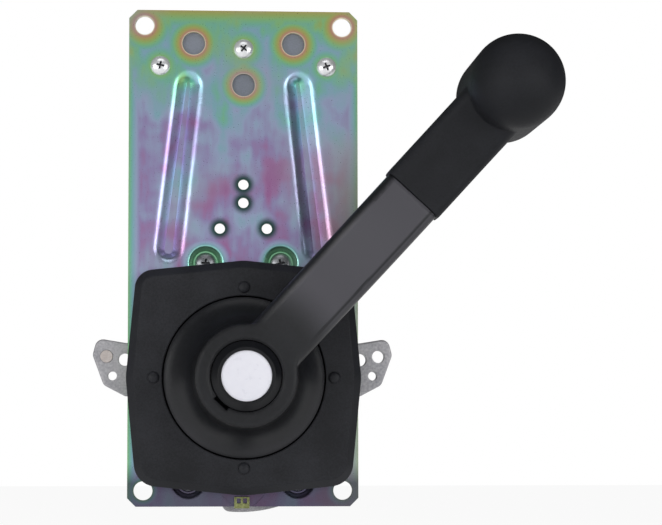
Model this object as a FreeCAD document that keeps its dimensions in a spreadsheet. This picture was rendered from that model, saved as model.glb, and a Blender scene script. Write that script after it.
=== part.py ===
import FreeCAD, Part
import math
import os
import re
import Sketcher
from FreeCAD import Placement, Rotation, Vector

# Side-mount boat throttle lever. X to the right, Z up, -Y towards the helmsman.
# The origin is on the lever shaft's axis, in the front face of the mounting plate.
# Sizes are in millimetres. "front" counts forwards from that face and "back" counts behind it.

sizes = {
    # Pressed steel mounting plate
    "plate_width": 110,
    "plate_top": 177,
    "plate_bottom": 61,
    "plate_thick": 2,
    "plate_corner": 4,
    "bolt_inset": 7.5,
    "bolt_hole_radius": 4.5,
    "rib_top_side": 26.7,
    "rib_top_height": 139.3,
    "rib_length": 77.2,
    "rib_lean": 6.7,
    "rib_width": 13,
    "rib_depth": 3.6,
    "rib_floor_top": 1.8,
    "rib_floor_low": 4,
    "rib_floor_rise": 3,
    "rib_floor_drop": 1,
    "rib_skirt": 1.6,
    "rib_shoulder": 5,
    "dimple_radius": 8,
    "dimple_depth": 3,
    "dimple_lean": 35,
    "dimple_shoulder": 1.5,
    "port_radius": 5.5,
    "port_side": 24,
    "port_height": 161,
    "port_low_height": 141,
    "spare_hole_radius": 2.5,
    "spare_high": 92.8,
    "spare_mid": 84,
    "spare_low": 71.6,
    "spare_side": 11.3,
    "notch_top": 20,
    "notch_foot": 9.6,
    "notch_rise": 5,
    "notch_depth": 0.8,
    # Cable anchor block and its screws
    "block_width": 96,
    "block_low": 105,
    "block_high": 172,
    "block_thick": 24,
    "block_corner": 16,
    "cable_side": 31,
    "cable_radius": 5,
    "cable_back": 14,
    "anchor_side": 40,
    "anchor_height": 150,
    "anchor_mid_height": 158.5,
    "anchor_screw_radius": 2.5,
    "anchor_screw_length": 17,
    "pan_radius": 4.75,
    "pan_crown_radius": 3.4,
    "pan_height": 2.4,
    "grub_radius": 2.5,
    "grub_rise": 15,
    # Moulded cover
    "cover_overhang": 0.6,
    "cover_bow": 4.8,
    "cover_half_height": 55.5,
    "cover_arch": 5.3,
    "cover_rise": 13,
    "cover_wall": 2.5,
    "cover_bevel": 3.5,
    "cover_corner": 9,
    "cover_low_corner": 11,
    "cover_knuckle": 20,
    "cover_hub_gap": 0.8,
    "rivet_radius": 2,
    "rivet_head_radius": 2.85,
    "rivet_head_rise": 1.4,
    "post_radius": 4,
    # Housing behind the plate
    "screw_high_side": 18,
    "screw_high": 55,
    "screw_low_side": 26,
    "screw_low": 49,
    "case_screw_radius": 2.5,
    "case_screw_length": 24,
    "case_head_radius": 5.2,
    "case_head_crown_radius": 3.8,
    "case_head_height": 2.2,
    "pillar_radius": 6.5,
    "case_front": 16,
    "case_thick": 20,
    "case_edge": 2,
    "case_shaft_gap": 0.5,
    "case_rib": 3,
    "case_well_depth": 12,
    "case_well_gap": 19,
    "case_well_low": 46,
    "case_well_low_side": 17,
    "case_well_high": 52,
    "case_well_high_side": 9,
    "case_bush_length": 10,
    # Shaft, its bushes and the pieces clamped on it
    "shaft_radius": 7,
    "shaft_front": 41,
    "shaft_back": 51,
    "run_gap": 0.05,
    "overshoot": 1,
    "bush_radius": 12,
    "bush_flange_radius": 15.5,
    "bush_flange": 2,
    "bush_front": 3,
    "rear_bush_radius": 10,
    "stem_radius": 2.5,
    "spring_bore": 4.6,
    "spring_bore_depth": 19,
    "drive_pin_radius": 2,
    "drive_pin_reach": 11.4,
    "drive_pin_back": 13,
    # Shift arm with its two lugs
    "arm_back": 4.3,
    "arm_thick": 6,
    "arm_hub_radius": 19,
    "arm_hub_back": 15.4,
    "lug_inner": 56.5,
    "lug_high_inner": 16.9,
    "lug_high": 19.1,
    "lug_high_reach": 69.8,
    "lug_tip": 71.9,
    "lug_tip_height": 11,
    "lug_low_reach": 66.6,
    "lug_low": 3.3,
    "lug_low_inner": 8.6,
    "lug_root": 14,
    "lug_round": 4,
    "lug_edge": 0.8,
    "notch_sink": 0.7,
    "lug_hole_reach": 65.2,
    "lug_hole_height": 10.4,
    "lug_hole_radius": 3,
    "lug_inner_hole_reach": 56.5,
    "lug_inner_hole_height": 8.9,
    "lug_small_hole_reach": 62.4,
    "lug_small_hole_height": 1.1,
    "lug_small_hole_radius": 2.15,
    "lost_motion": 60,
    "window_radius": 11.8,
    "cable_pin_head": 4.6,
    "cable_pin_proud": 2,
    "cable_pin_tail": 7,
    "cable_pin_nose": 0.5,
    "clip_thick": 1,
    # Detent and friction brake
    "ball_radius": 3,
    "ball_height": 14.5,
    "ball_gap": 0.3,
    "detent_turn": 32,
    "plug_length": 6,
    "spring_wire": 0.45,
    "spring_turns": 4,
    "brake_radius": 3.6,
    "brake_pad_length": 4,
    "brake_screw_length": 18,
    "brake_back": 30,
    # Throttle crank on the back end of the shaft
    "crank_back": 37,
    "crank_thick": 5,
    "crank_hub_radius": 12,
    "crank_lean": 6,
    "crank_reach": 65.6,
    "crank_spread": 14,
    "crank_hole_reach": 57.5,
    "crank_inner_hole_reach": 46,
    "washer_thick": 1.5,
    "washer_radius": 11,
    "nut_flats": 19,
    "nut_thick": 6,
    # Lever casting
    "lever_lean": 42.5,
    "hub_back": 8.5,
    "hub_base_radius": 37.8,
    "hub_rim": 5.5,
    "hub_neck_radius": 24.6,
    "hub_neck_front": 34,
    "hub_cove_radius": 21,
    "hub_face_radius": 23.3,
    "hub_front": 46,
    "hub_wall": 3.8,
    "recess_radius": 16.4,
    "recess_floor": 32,
    "boss_radius": 12,
    "boss_back": 3.3,
    "arm_width": 28.5,
    "arm_round": 4,
    "arm_root_round": 4,
    "sleeve_start": 109,
    "arm_root_back": 24,
    "arm_front_rise": 100,
    "arm_back_rise": 80,
    "arm_end_front": 66.6,
    "arm_end_back": 49.6,
    "tang_end": 152,
    "tang_width": 22,
    "tang_thick": 12,
    "sleeve_front": 67.4,
    "sleeve_thick": 18.6,
    # Rubber sleeve with its cross grip
    "sleeve_width": 30.6,
    "sleeve_round": 5,
    "grip_reach": 175,
    "grip_radius": 21,
    "grip_front": 80,
    "grip_span": 41,
    "soft_gap": 0.3,
    # Pull button in the hub
    "button_radius": 16,
    "button_front": 49,
    "button_bevel": 3,
    "button_skirt": 12,
    "button_hollow": 13,
    "button_web": 5,
    "disc_radius": 11.5,
    "disc_thick": 1.6,
    "disc_sink": 0.7,
    "pry_width": 8,
    "pry_proud": 1.2,
    "pry_depth": 8,
    "collar_radius": 4.2,
    "collar_thick": 2,
    "collar_front": 22.3,
    "spring_cap_front": 40,
    "spring_cap_thick": 1.5,
    "lever_nut_flats": 17,
    "lever_nut_thick": 5,
    # Bottom spring clip of the cover
    "tab_side": -0.6,
    "tab_width": 7.2,
    "tab_rise": 4.6,
    "tab_thick": 0.8,
    "tab_bar": 1.1,
    "tab_sill": 1.5,
    "tab_window_width": 1.9,
    "tab_window_height": 2.4,
}

doc = FreeCAD.newDocument("ThrottleLever")
sheet = doc.addObject("Spreadsheet::Sheet", "Sizes")
for row, (alias, number) in enumerate(sizes.items(), start=1):
    sheet.set(f"A{row}", alias)
    sheet.set(f"B{row}", str(number))
    sheet.setAlias(f"B{row}", alias)
doc.recompute()

subparts = []
word = re.compile(r"[a-z_]+[a-z0-9_]*")


def formula(text):
    """The formula with each size pointing at its cell in the sheet."""
    return word.sub(lambda m: "Sizes." + m.group(0) if m.group(0) in sizes else m.group(0), str(text))


def value(text):
    return float(sheet.evalExpression(formula(text)))


def bind(thing, prop, text):
    thing.setExpression(prop, formula(text))


def finish(thing, label):
    thing.Label = label
    subparts.append(thing)
    return thing


def new_body(name):
    return doc.addObject("PartDesign::Body", name)


def new_sketch(body, role, offset="0", place=None):
    """A sketch on one of the body's own planes. On XZ_Plane its third axis runs forwards."""
    plane = next(f for f in body.Origin.OriginFeatures if f.Role == role)
    sketch = body.newObject("Sketcher::SketchObject", body.Name + "_sketch")
    sketch.AttachmentSupport = [(plane, "")]
    sketch.MapMode = "FlatFace"
    if place:
        across, up, turn = place
        sketch.AttachmentOffset = Placement(Vector(), Rotation(Vector(0, 0, 1), 1))
        bind(sketch, "AttachmentOffset.Base.x", across)
        bind(sketch, "AttachmentOffset.Base.y", up)
        bind(sketch, "AttachmentOffset.Rotation.Angle", f"({turn}) * 1 deg")
    bind(sketch, "AttachmentOffset.Base.z", offset)
    return sketch


def arc_through(start, end, radius, side):
    """An arc between two points, with its centre to the left (side 1) or right (side -1)."""
    middle = (start + end) * 0.5
    chord = end - start
    away = math.sqrt(max(radius ** 2 - (chord.Length / 2) ** 2, 0))
    left = Vector(-chord.y, chord.x, 0).normalize()
    centre = middle + left * away * side
    first, last = (start, end) if side > 0 else (end, start)
    angles = [math.atan2(p.y - centre.y, p.x - centre.x) for p in (first, last)]
    if angles[1] < angles[0]:
        angles[1] += 2 * math.pi
    return Part.ArcOfCircle(Part.Circle(centre, Vector(0, 0, 1), radius), *angles)


def closed_outline(sketch, corners):
    """Corners are (across, up) or (across, up, radius, side) where an arc leads to the next one.

    Without a radius the arc is a half circle to a corner at the same height.
    """
    points = [Vector(value(c[0]), value(c[1]), 0) for c in corners]
    first_edge = sketch.GeometryCount
    ends = []
    for i, corner in enumerate(corners):
        start, end = points[i], points[(i + 1) % len(points)]
        if len(corner) == 4:
            radius = value(corner[2]) if corner[2] else (end - start).Length / 2
            edge = sketch.addGeometry(arc_through(start, end, radius, corner[3]), False)
            ends.append((1, 2) if corner[3] > 0 else (2, 1))
            if corner[2]:
                held = sketch.addConstraint(Sketcher.Constraint("Radius", edge, radius))
            else:
                held = sketch.addConstraint(Sketcher.Constraint("DistanceY", edge, 3, start.y))
            bind(sketch, f"Constraints[{held}]", corner[2] or corner[1])
        else:
            edge = sketch.addGeometry(Part.LineSegment(start, end), False)
            ends.append((1, 2))
    count = len(corners)
    for i, corner in enumerate(corners):
        after = (i + 1) % count
        meet = ("Coincident", first_edge + i, ends[i][1], first_edge + after, ends[after][0])
        sketch.addConstraint(Sketcher.Constraint(*meet))
        for kind, text, number in (("DistanceX", corner[0], points[i].x), ("DistanceY", corner[1], points[i].y)):
            held = sketch.addConstraint(Sketcher.Constraint(kind, first_edge + i, ends[i][0], number))
            bind(sketch, f"Constraints[{held}]", text)


def circles(sketch, rings):
    """Rings are (across, up, radius)."""
    for across, up, radius in rings:
        centre = Vector(value(across), value(up), 0)
        ring = sketch.addGeometry(Part.Circle(centre, Vector(0, 0, 1), value(radius)), False)
        held = sketch.addConstraint(Sketcher.Constraint("Radius", ring, value(radius)))
        bind(sketch, f"Constraints[{held}]", radius)
        for kind, text, number in (("DistanceX", across, centre.x), ("DistanceY", up, centre.y)):
            held = sketch.addConstraint(Sketcher.Constraint(kind, ring, 3, number))
            bind(sketch, f"Constraints[{held}]", text)


def feature(body, kind, sketch, length, backwards=False):
    made = body.newObject("PartDesign::" + kind, body.Name + "_" + kind.lower())
    made.Profile = sketch
    bind(made, "Length", length)
    made.Reversed = backwards
    doc.recompute()
    return made


def pad(body, offset, length, corners=None, rings=None, backwards=False, role="XZ_Plane", place=None):
    sketch = new_sketch(body, role, offset, place)
    if corners:
        closed_outline(sketch, corners)
    if rings:
        circles(sketch, rings)
    return feature(body, "Pad", sketch, length, backwards)


def pocket(body, offset, length, corners=None, rings=None, backwards=False, role="XZ_Plane", place=None):
    """Cuts backwards from a sketch on XZ_Plane, or forwards when turned round."""
    before = body.Shape.Volume
    sketch = new_sketch(body, role, offset, place)
    if corners:
        closed_outline(sketch, corners)
    if rings:
        circles(sketch, rings)
    made = feature(body, "Pocket", sketch, length, backwards)
    if body.Shape.Volume >= before:
        raise RuntimeError(f"{made.Name} cuts nothing")
    return made


def revolve(body, corners, role="XY_Plane", kind="Revolution"):
    """Turns a profile of (radius, back) about the shaft's axis."""
    sketch = new_sketch(body, role)
    closed_outline(sketch, corners)
    made = body.newObject("PartDesign::" + kind, body.Name + "_" + kind.lower())
    made.Profile = sketch
    made.ReferenceAxis = (sketch, ["V_Axis"])
    made.Angle = 360
    doc.recompute()
    return made


def dress(body, kind, size, chosen, prop="Radius"):
    """Fillets or chamfers the edges for which chosen(edge) holds."""
    base = body.Tip
    names = [f"Edge{i}" for i, edge in enumerate(base.Shape.Edges, start=1) if chosen(edge)]
    if not names:
        raise RuntimeError(f"{body.Name} has no edge to dress")
    made = body.newObject("PartDesign::" + kind, body.Name + "_" + kind.lower())
    made.Base = (base, names)
    bind(made, prop, size)
    doc.recompute()
    return made


def mirrored(body, features):
    made = body.newObject("PartDesign::Mirrored", body.Name + "_mirrored")
    made.Originals = features
    plane = next(f for f in body.Origin.OriginFeatures if f.Role == "YZ_Plane")
    made.MirrorPlane = (plane, [""])
    body.Tip = made
    doc.recompute()
    return made


def rod(name, radius, back, length, across="0", up="0", tip=None):
    """A round bar along Y, from back towards the rear, or a cone when tip is given."""
    made = doc.addObject("Part::Cone" if tip else "Part::Cylinder", name)
    bind(made, "Radius1" if tip else "Radius", radius)
    if tip:
        bind(made, "Radius2", tip)
    bind(made, "Height", length)
    made.Placement = Placement(Vector(), Rotation(Vector(1, 0, 0), -90))
    bind(made, "Placement.Base.x", across)
    bind(made, "Placement.Base.y", back)
    bind(made, "Placement.Base.z", up)
    return made


def joined(name, pieces):
    made = doc.addObject("Part::MultiFuse", name)
    made.Shapes = pieces
    made.Refine = True
    return made


def cut(name, solid, tools):
    made = doc.addObject("Part::Cut", name)
    made.Base = solid
    made.Tool = tools[0] if len(tools) == 1 else joined(name + "_tool", tools)
    made.Refine = True
    return made


def group(name, pieces):
    made = doc.addObject("Part::Compound", name)
    made.Links = pieces
    return made


def is_ring(edge, radius):
    """True for a full circle of that radius."""
    return edge.Closed and abs(edge.Length - 2 * math.pi * value(radius)) < 0.1


def on_rim(edge, back):
    """True for an edge that lies flat at that depth behind the plate."""
    box = edge.BoundBox
    return box.YLength < 0.001 and abs(box.Center.y - value(back)) < 0.001


def upright(edge):
    """True for an edge that runs straight along Y."""
    box = edge.BoundBox
    return box.YLength > 0.1 and box.XLength < 0.001 and box.ZLength < 0.001


# Mounting plate: 2 mm sheet with two pressed ribs and four pressed screw dimples
dimples = [
    ("-screw_high_side", "screw_high"),
    ("screw_high_side", "screw_high"),
    ("-screw_low_side", "-screw_low"),
    ("screw_low_side", "-screw_low"),
]
half_plate = "plate_width / 2"
plate = new_body("mounting_plate")


def sheet_blank(margin):
    """The sheet as it goes into the press, wider than the plate by a margin all round."""
    side = f"({half_plate} + {margin})"
    low = f"-plate_bottom - ({margin})"
    high = f"plate_top + {margin}"
    return [(f"-{side}", low), (side, low), (side, high), (f"-{side}", high)]


pad(plate, "0", "plate_thick", backwards=True, corners=sheet_blank("rib_width"))


def rib_outline(high_width, low_width, rise="0", drop="0"):
    """A long slot with round ends, upright below its own upper centre, drawn out by rise and drop."""
    return [
        (f"({high_width}) / 2", rise, None, 1),
        (f"-({high_width}) / 2", rise),
        (f"-({low_width}) / 2", f"-rib_length - {drop}", None, 1),
        (f"({low_width}) / 2", f"-rib_length - {drop}"),
    ]


def loft(body, kind, near_part, far_part):
    """A pressed form between two flat outlines, each (offset, place, corners, rings)."""
    made = body.newObject("PartDesign::" + kind, f"{body.Name}_{kind.lower()}")
    drawn = []
    for offset, place, corners, rings in (near_part, far_part):
        sketch = new_sketch(body, "XZ_Plane", offset, place)
        closed_outline(sketch, corners)
        circles(sketch, rings)
        drawn.append(sketch)
    body.Tip = made
    made.Profile = drawn[0]
    made.Sections = [drawn[1]]
    made.Ruled = True
    doc.recompute()
    return made


skirt = "rib_width + 2 * rib_skirt"
rib_place = ("rib_top_side", "rib_top_height", "rib_lean")
dimple_floor = "dimple_radius - dimple_depth * tan(dimple_lean * 1 deg)"
raised = [loft(
    plate, "AdditiveLoft",
    ("-plate_thick", rib_place, rib_outline(skirt, skirt), []),
    ("-plate_thick - rib_depth", rib_place,
     rib_outline("rib_floor_top + 2 * rib_skirt", "rib_floor_low + 2 * rib_skirt",
                 "rib_floor_rise", "rib_floor_drop"), []),
)]
raised += [loft(
    plate, "AdditiveLoft",
    ("-plate_thick", None, [], [(x, z, "dimple_radius + plate_thick / 2")]),
    ("-plate_thick - dimple_depth", None, [], [(x, z, f"{dimple_floor} + plate_thick / 2")]),
) for x, z in dimples[1::2]]
mirrored(plate, raised)
sunk = [loft(
    plate, "SubtractiveLoft",
    ("0", rib_place, rib_outline("rib_width", "rib_width"), []),
    ("-rib_depth", rib_place,
     rib_outline("rib_floor_top", "rib_floor_low", "rib_floor_rise", "rib_floor_drop"), []),
)]
sunk += [loft(
    plate, "SubtractiveLoft",
    ("0", None, [], [(x, z, "dimple_radius")]),
    ("-dimple_depth", None, [], [(x, z, dimple_floor)]),
) for x, z in dimples[1::2]]
mirrored(plate, sunk)


pressed_top = "rib_top_height + rib_width"


def on_front(edge):
    """True for an edge of the pressed forms that lies in the plate's front face."""
    box = edge.BoundBox
    centre = box.Center
    inside = abs(centre.x) < value(half_plate) - value("plate_corner")
    level = abs(centre.y) < 0.001 and box.YLength < 0.001
    return level and inside and -value("screw_low") - 1 < centre.z < value(pressed_top)


dress(plate, "Fillet", "rib_shoulder", lambda e: on_front(e) and not is_ring(e, "dimple_radius"))
dress(plate, "Fillet", "dimple_shoulder", lambda e: on_front(e) and is_ring(e, "dimple_radius"))
trim = new_sketch(plate, "XZ_Plane")
closed_outline(trim, sheet_blank("rib_width + overshoot"))
closed_outline(trim, [
    (f"-{half_plate}", "plate_corner - plate_bottom"),
    (f"plate_corner - {half_plate}", "-plate_bottom"),
    (f"{half_plate} - plate_corner", "-plate_bottom"),
    (half_plate, "plate_corner - plate_bottom"),
    (half_plate, "plate_top - plate_corner"),
    (f"{half_plate} - plate_corner", "plate_top"),
    (f"plate_corner - {half_plate}", "plate_top"),
    (f"-{half_plate}", "plate_top - plate_corner"),
])
feature(plate, "Pocket", trim, "plate_thick + rib_depth + overshoot")
bolts_out = f"{half_plate} - bolt_inset"
pocket(plate, "0", "plate_thick + overshoot", rings=[
    (f"-({bolts_out})", "plate_top - bolt_inset", "bolt_hole_radius"),
    (bolts_out, "plate_top - bolt_inset", "bolt_hole_radius"),
    (f"-({bolts_out})", "bolt_inset - plate_bottom", "bolt_hole_radius"),
    (bolts_out, "bolt_inset - plate_bottom", "bolt_hole_radius"),
    ("-port_side", "port_height", "port_radius"),
    ("port_side", "port_height", "port_radius"),
    ("0", "port_low_height", "port_radius"),
    ("-anchor_side", "anchor_height", "anchor_screw_radius + 2 * run_gap"),
    ("anchor_side", "anchor_height", "anchor_screw_radius + 2 * run_gap"),
    ("0", "anchor_mid_height", "anchor_screw_radius + 2 * run_gap"),
    ("0", "spare_high", "spare_hole_radius"),
    ("0", "spare_mid", "spare_hole_radius"),
    ("-spare_side", "spare_low", "spare_hole_radius"),
    ("spare_side", "spare_low", "spare_hole_radius"),
    ("0", "0", "bush_radius + run_gap"),
])
pocket(plate, "-dimple_depth", "plate_thick + overshoot",
       rings=[(x, z, "case_screw_radius + 2 * run_gap") for x, z in dimples])
pocket(plate, "0", "notch_depth", corners=[
    ("-notch_foot / 2", "-plate_bottom"),
    ("notch_foot / 2", "-plate_bottom"),
    ("notch_top / 2", "notch_rise - plate_bottom"),
    ("-notch_top / 2", "notch_rise - plate_bottom"),
])
finish(plate, "mounting_plate")

# Cable anchor block: grey moulding with two cable bores and relief at the bolt corners
block = new_body("cable_anchor_block")
half_block = "block_width / 2"
pad(block, "-plate_thick", "block_thick", backwards=True, corners=[
    (f"block_corner - {half_block}", "block_low"),
    (f"{half_block} - block_corner", "block_low"),
    (half_block, "block_low + block_corner"),
    (half_block, "block_high - block_corner"),
    (f"{half_block} - block_corner", "block_high"),
    (f"block_corner - {half_block}", "block_high"),
    (f"-{half_block}", "block_high - block_corner"),
    (f"-{half_block}", "block_low + block_corner"),
])


def rib_relief(kind_offset):
    """Room for a rib's ridge in a piece that lies behind the plate."""
    sketch = new_sketch(block, "XZ_Plane", kind_offset, ("rib_top_side", "rib_top_height", "rib_lean"))
    wide = f"{skirt} + 2 * soft_gap"
    closed_outline(sketch, rib_outline(wide, wide))
    return feature(block, "Pocket", sketch, "rib_depth + soft_gap")


mirrored(block, [rib_relief("-plate_thick")])
pocket(block, "-plate_thick", "block_thick", rings=[
    ("-anchor_side", "anchor_height", "anchor_screw_radius + run_gap"),
    ("anchor_side", "anchor_height", "anchor_screw_radius + run_gap"),
    ("0", "anchor_mid_height", "anchor_screw_radius + run_gap"),
])
pocket(block, "block_low", "block_high - block_low", role="XY_Plane", backwards=True, rings=[
    ("-cable_side", "cable_back", "cable_radius"),
    ("cable_side", "cable_back", "cable_radius"),
])
pocket(block, "-cable_back", "block_thick", rings=[
    ("-cable_side", "block_low + grub_rise", "grub_radius + run_gap"),
    ("cable_side", "block_low + grub_rise", "grub_radius + run_gap"),
])
finish(block, "cable_anchor_block")


def pan_screw(name, across, up, back, head, head_tip, head_height, shank, length):
    cap = rod(name + "_head", head_tip, f"{back} - {head_height}", head_height, across, up, tip=head)
    shaft = rod(name + "_shank", shank, back, length, across, up)
    return joined(name, [cap, shaft])


pans = [
    pan_screw(f"pan_{i}", x, z, "0", "pan_radius", "pan_crown_radius", "pan_height",
              "anchor_screw_radius", "anchor_screw_length")
    for i, (x, z) in enumerate([
        ("-anchor_side", "anchor_height"), ("anchor_side", "anchor_height"), ("0", "anchor_mid_height")])
]
finish(group("anchor_screws", pans), "anchor_screws")
grubs = [
    rod(f"grub_{i}", "grub_radius", "cable_back + cable_radius + soft_gap",
        "plate_thick + block_thick - cable_back - cable_radius - soft_gap", x, "block_low + grub_rise")
    for i, x in enumerate(["-cable_side", "cable_side"])
]
finish(group("cable_grub_screws", grubs), "cable_grub_screws")

# Cover: moulded shell with bowed sides, a bevelled rim, four posts and the round lever opening
cover = new_body("cover")
cover_side = "plate_width / 2 + cover_overhang"
cover_corner_side = f"{cover_side} - cover_bow"
cover_corner_height = "cover_half_height - cover_arch"
pad(cover, "0", "cover_rise", corners=[
    ("0", "-cover_half_height"),
    (cover_corner_side, f"-({cover_corner_height})"),
    (cover_side, "0"),
    (cover_corner_side, cover_corner_height),
    ("0", "cover_half_height"),
    (f"-({cover_corner_side})", cover_corner_height),
    (f"-({cover_side})", "0"),
    (f"-({cover_corner_side})", f"-({cover_corner_height})"),
])


def at_corner(edge, side):
    """True for one of the two outer corner edges, above (side 1) or below (side -1) the middle."""
    centre = edge.BoundBox.Center
    beside = abs(abs(centre.x) - value(cover_corner_side)) < 0.01
    return beside and upright(edge) and abs(centre.z - side * value(cover_corner_height)) < 0.01


dress(cover, "Fillet", "cover_corner", lambda e: at_corner(e, 1))
dress(cover, "Fillet", "cover_low_corner", lambda e: at_corner(e, -1))
dress(cover, "Fillet", "cover_knuckle", lambda e: upright(e) and (
    abs(e.BoundBox.Center.x) < 0.01 or abs(e.BoundBox.Center.z) < 0.01))
cover_face = -value("cover_rise")
dress(cover, "Chamfer", "cover_bevel", lambda e: e.BoundBox.YMax < cover_face + 0.01, prop="Size")
block_form = cover.Tip
open_faces = [f"Face{i}" for i, f in enumerate(block_form.Shape.Faces, start=1) if f.CenterOfMass.y > -0.01]
shell = cover.newObject("PartDesign::Thickness", "cover_shell")
shell.Base = (block_form, open_faces)
bind(shell, "Value", "cover_wall")
shell.Reversed = True
shell.Join = 1
doc.recompute()
rivet_out = "(hub_base_radius + cover_hub_gap + post_radius)"
rivets = [(f"-{rivet_out}", "0"), (rivet_out, "0"), ("0", f"-{rivet_out}"), ("0", rivet_out)]
pad(cover, "0", "cover_rise - cover_wall / 2", rings=[(x, z, "post_radius") for x, z in rivets])
pocket(cover, "cover_rise", "cover_rise", rings=[("0", "0", "hub_base_radius + cover_hub_gap")])
pocket(cover, "cover_rise", "cover_rise", rings=[(x, z, "rivet_radius + run_gap") for x, z in rivets])
finish(cover, "cover")
pins = [
    pan_screw(f"rivet_{i}", x, z, "-cover_rise", "rivet_head_radius", "rivet_radius",
              "rivet_head_rise", "rivet_radius", "cover_rise - soft_gap")
    for i, (x, z) in enumerate(rivets)
]
finish(group("cover_rivets", pins), "cover_rivets")

# Housing: die-cast block held off the plate by four spacers, so that the shift arm can swing between
case = new_body("housing")
pad(case, "-case_front", "case_thick", backwards=True, corners=[
    ("-screw_low_side - pillar_radius", "-screw_low - pillar_radius"),
    ("screw_low_side + pillar_radius", "-screw_low - pillar_radius"),
    ("screw_high_side + pillar_radius", "screw_high + pillar_radius"),
    ("-screw_high_side - pillar_radius", "screw_high + pillar_radius"),
])
dress(case, "Fillet", "pillar_radius", upright)
dress(case, "Fillet", "case_edge", lambda e: on_rim(e, "case_front + case_thick"))
for low, high, wide in (("-case_well_low", "-case_well_gap", "case_well_low_side"),
                        ("case_well_gap + case_edge", "case_well_high", "case_well_high_side")):
    for side in (1, -1):
        pocket(case, "-case_front - case_thick", "case_well_depth", backwards=True, corners=[
            (f"{side} * case_rib / 2", low),
            (f"{side} * {wide}", low),
            (f"{side} * {wide}", high),
            (f"{side} * case_rib / 2", high),
        ])
pocket(case, "-case_front", "dimple_depth + case_screw_length + soft_gap - case_front",
       rings=[(x, z, "case_screw_radius + run_gap") for x, z in dimples])
pocket(case, "-case_front", "case_bush_length", rings=[("0", "0", "rear_bush_radius + run_gap")])
pocket(case, "-case_front", "case_thick", rings=[("0", "0", "shaft_radius + case_shaft_gap")])
pocket(case, "-case_front", "case_thick", rings=[("0", "ball_height", "ball_radius + run_gap")])
pocket(case, "0", "screw_low_side + 2 * pillar_radius", role="YZ_Plane", backwards=True,
       rings=[("brake_back", "0", "brake_radius + run_gap")])
finish(case, "housing")
case_screws = [
    pan_screw(f"case_screw_{i}", x, z, "dimple_depth", "case_head_radius", "case_head_crown_radius",
              "case_head_height", "case_screw_radius", "case_screw_length")
    for i, (x, z) in enumerate(dimples)
]
finish(group("housing_screws", case_screws), "housing_screws")
spacer_front = "plate_thick + dimple_depth"
spacers = [
    cut(f"spacer_{i}",
        rod(f"spacer_{i}_bar", "pillar_radius", spacer_front, f"case_front - ({spacer_front})", x, z),
        [rod(f"spacer_{i}_hole", "case_screw_radius + run_gap", f"{spacer_front} - overshoot", "case_front", x, z)])
    for i, (x, z) in enumerate(dimples)
]
finish(group("housing_spacers", spacers), "housing_spacers")

# Shaft and the two plain bushes it turns in
bush_solid = joined("front_bush_solid", [
    rod("front_bush_sleeve", "bush_radius", "-bush_front", "bush_front + plate_thick + bush_flange / 2"),
    rod("front_bush_flange", "bush_flange_radius", "plate_thick", "bush_flange"),
])
bush_bore = rod("front_bush_bore", "shaft_radius + run_gap", "-bush_front - overshoot", "bush_front + 2 * bush_radius")
finish(cut("front_bush", bush_solid, [bush_bore]), "front_bush")
rear_solid = rod("rear_bush_solid", "rear_bush_radius", "case_front", "case_bush_length")
rear_bore = rod("rear_bush_bore", "shaft_radius + run_gap", "case_front - overshoot", "case_bush_length + 2 * overshoot")
finish(cut("rear_bush", rear_solid, [rear_bore]), "rear_bush")
shaft_bar = rod("shaft_bar", "shaft_radius", "-shaft_front", "shaft_front + shaft_back")
stem_bore = rod("stem_bore", "stem_radius + run_gap", "-shaft_front - overshoot",
                "shaft_front + overshoot + plate_thick")
spring_seat = rod("spring_seat", "spring_bore", "-shaft_front - overshoot",
                  "spring_bore_depth + overshoot")
pin_hole = doc.addObject("Part::Cylinder", "pin_hole")
bind(pin_hole, "Radius", "drive_pin_radius")
bind(pin_hole, "Height", "4 * shaft_radius")
pin_hole.Placement = Placement(Vector(), Rotation(Vector(0, 1, 0), 90))
bind(pin_hole, "Placement.Base.x", "-2 * shaft_radius")
bind(pin_hole, "Placement.Base.y", "drive_pin_back")
finish(cut("main_shaft", shaft_bar, [stem_bore, spring_seat, pin_hole]), "main_shaft")
drive_pin = doc.addObject("Part::Cylinder", "drive_pin")
bind(drive_pin, "Radius", "drive_pin_radius")
bind(drive_pin, "Height", "2 * drive_pin_reach")
drive_pin.Placement = Placement(Vector(), Rotation(Vector(0, 1, 0), 90))
bind(drive_pin, "Placement.Base.x", "-drive_pin_reach")
bind(drive_pin, "Placement.Base.y", "drive_pin_back")
finish(drive_pin, "drive_pin")


# Half of the shift arm's outline as (along, across), from its high root to its low root
lug = [
    ("lug_inner", "lug_high_inner"),
    ("lug_high_reach", "lug_high"),
    ("lug_tip", "lug_tip_height"),
    ("lug_low_reach", "-lug_low"),
    ("lug_inner", "-lug_low_inner"),
]
lug_holes = [
    ("lug_hole_reach", "lug_hole_height", "lug_hole_radius"),
    ("lug_inner_hole_reach", "lug_inner_hole_height", "lug_hole_radius"),
    ("lug_small_hole_reach", "lug_small_hole_height", "lug_small_hole_radius"),
]

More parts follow.
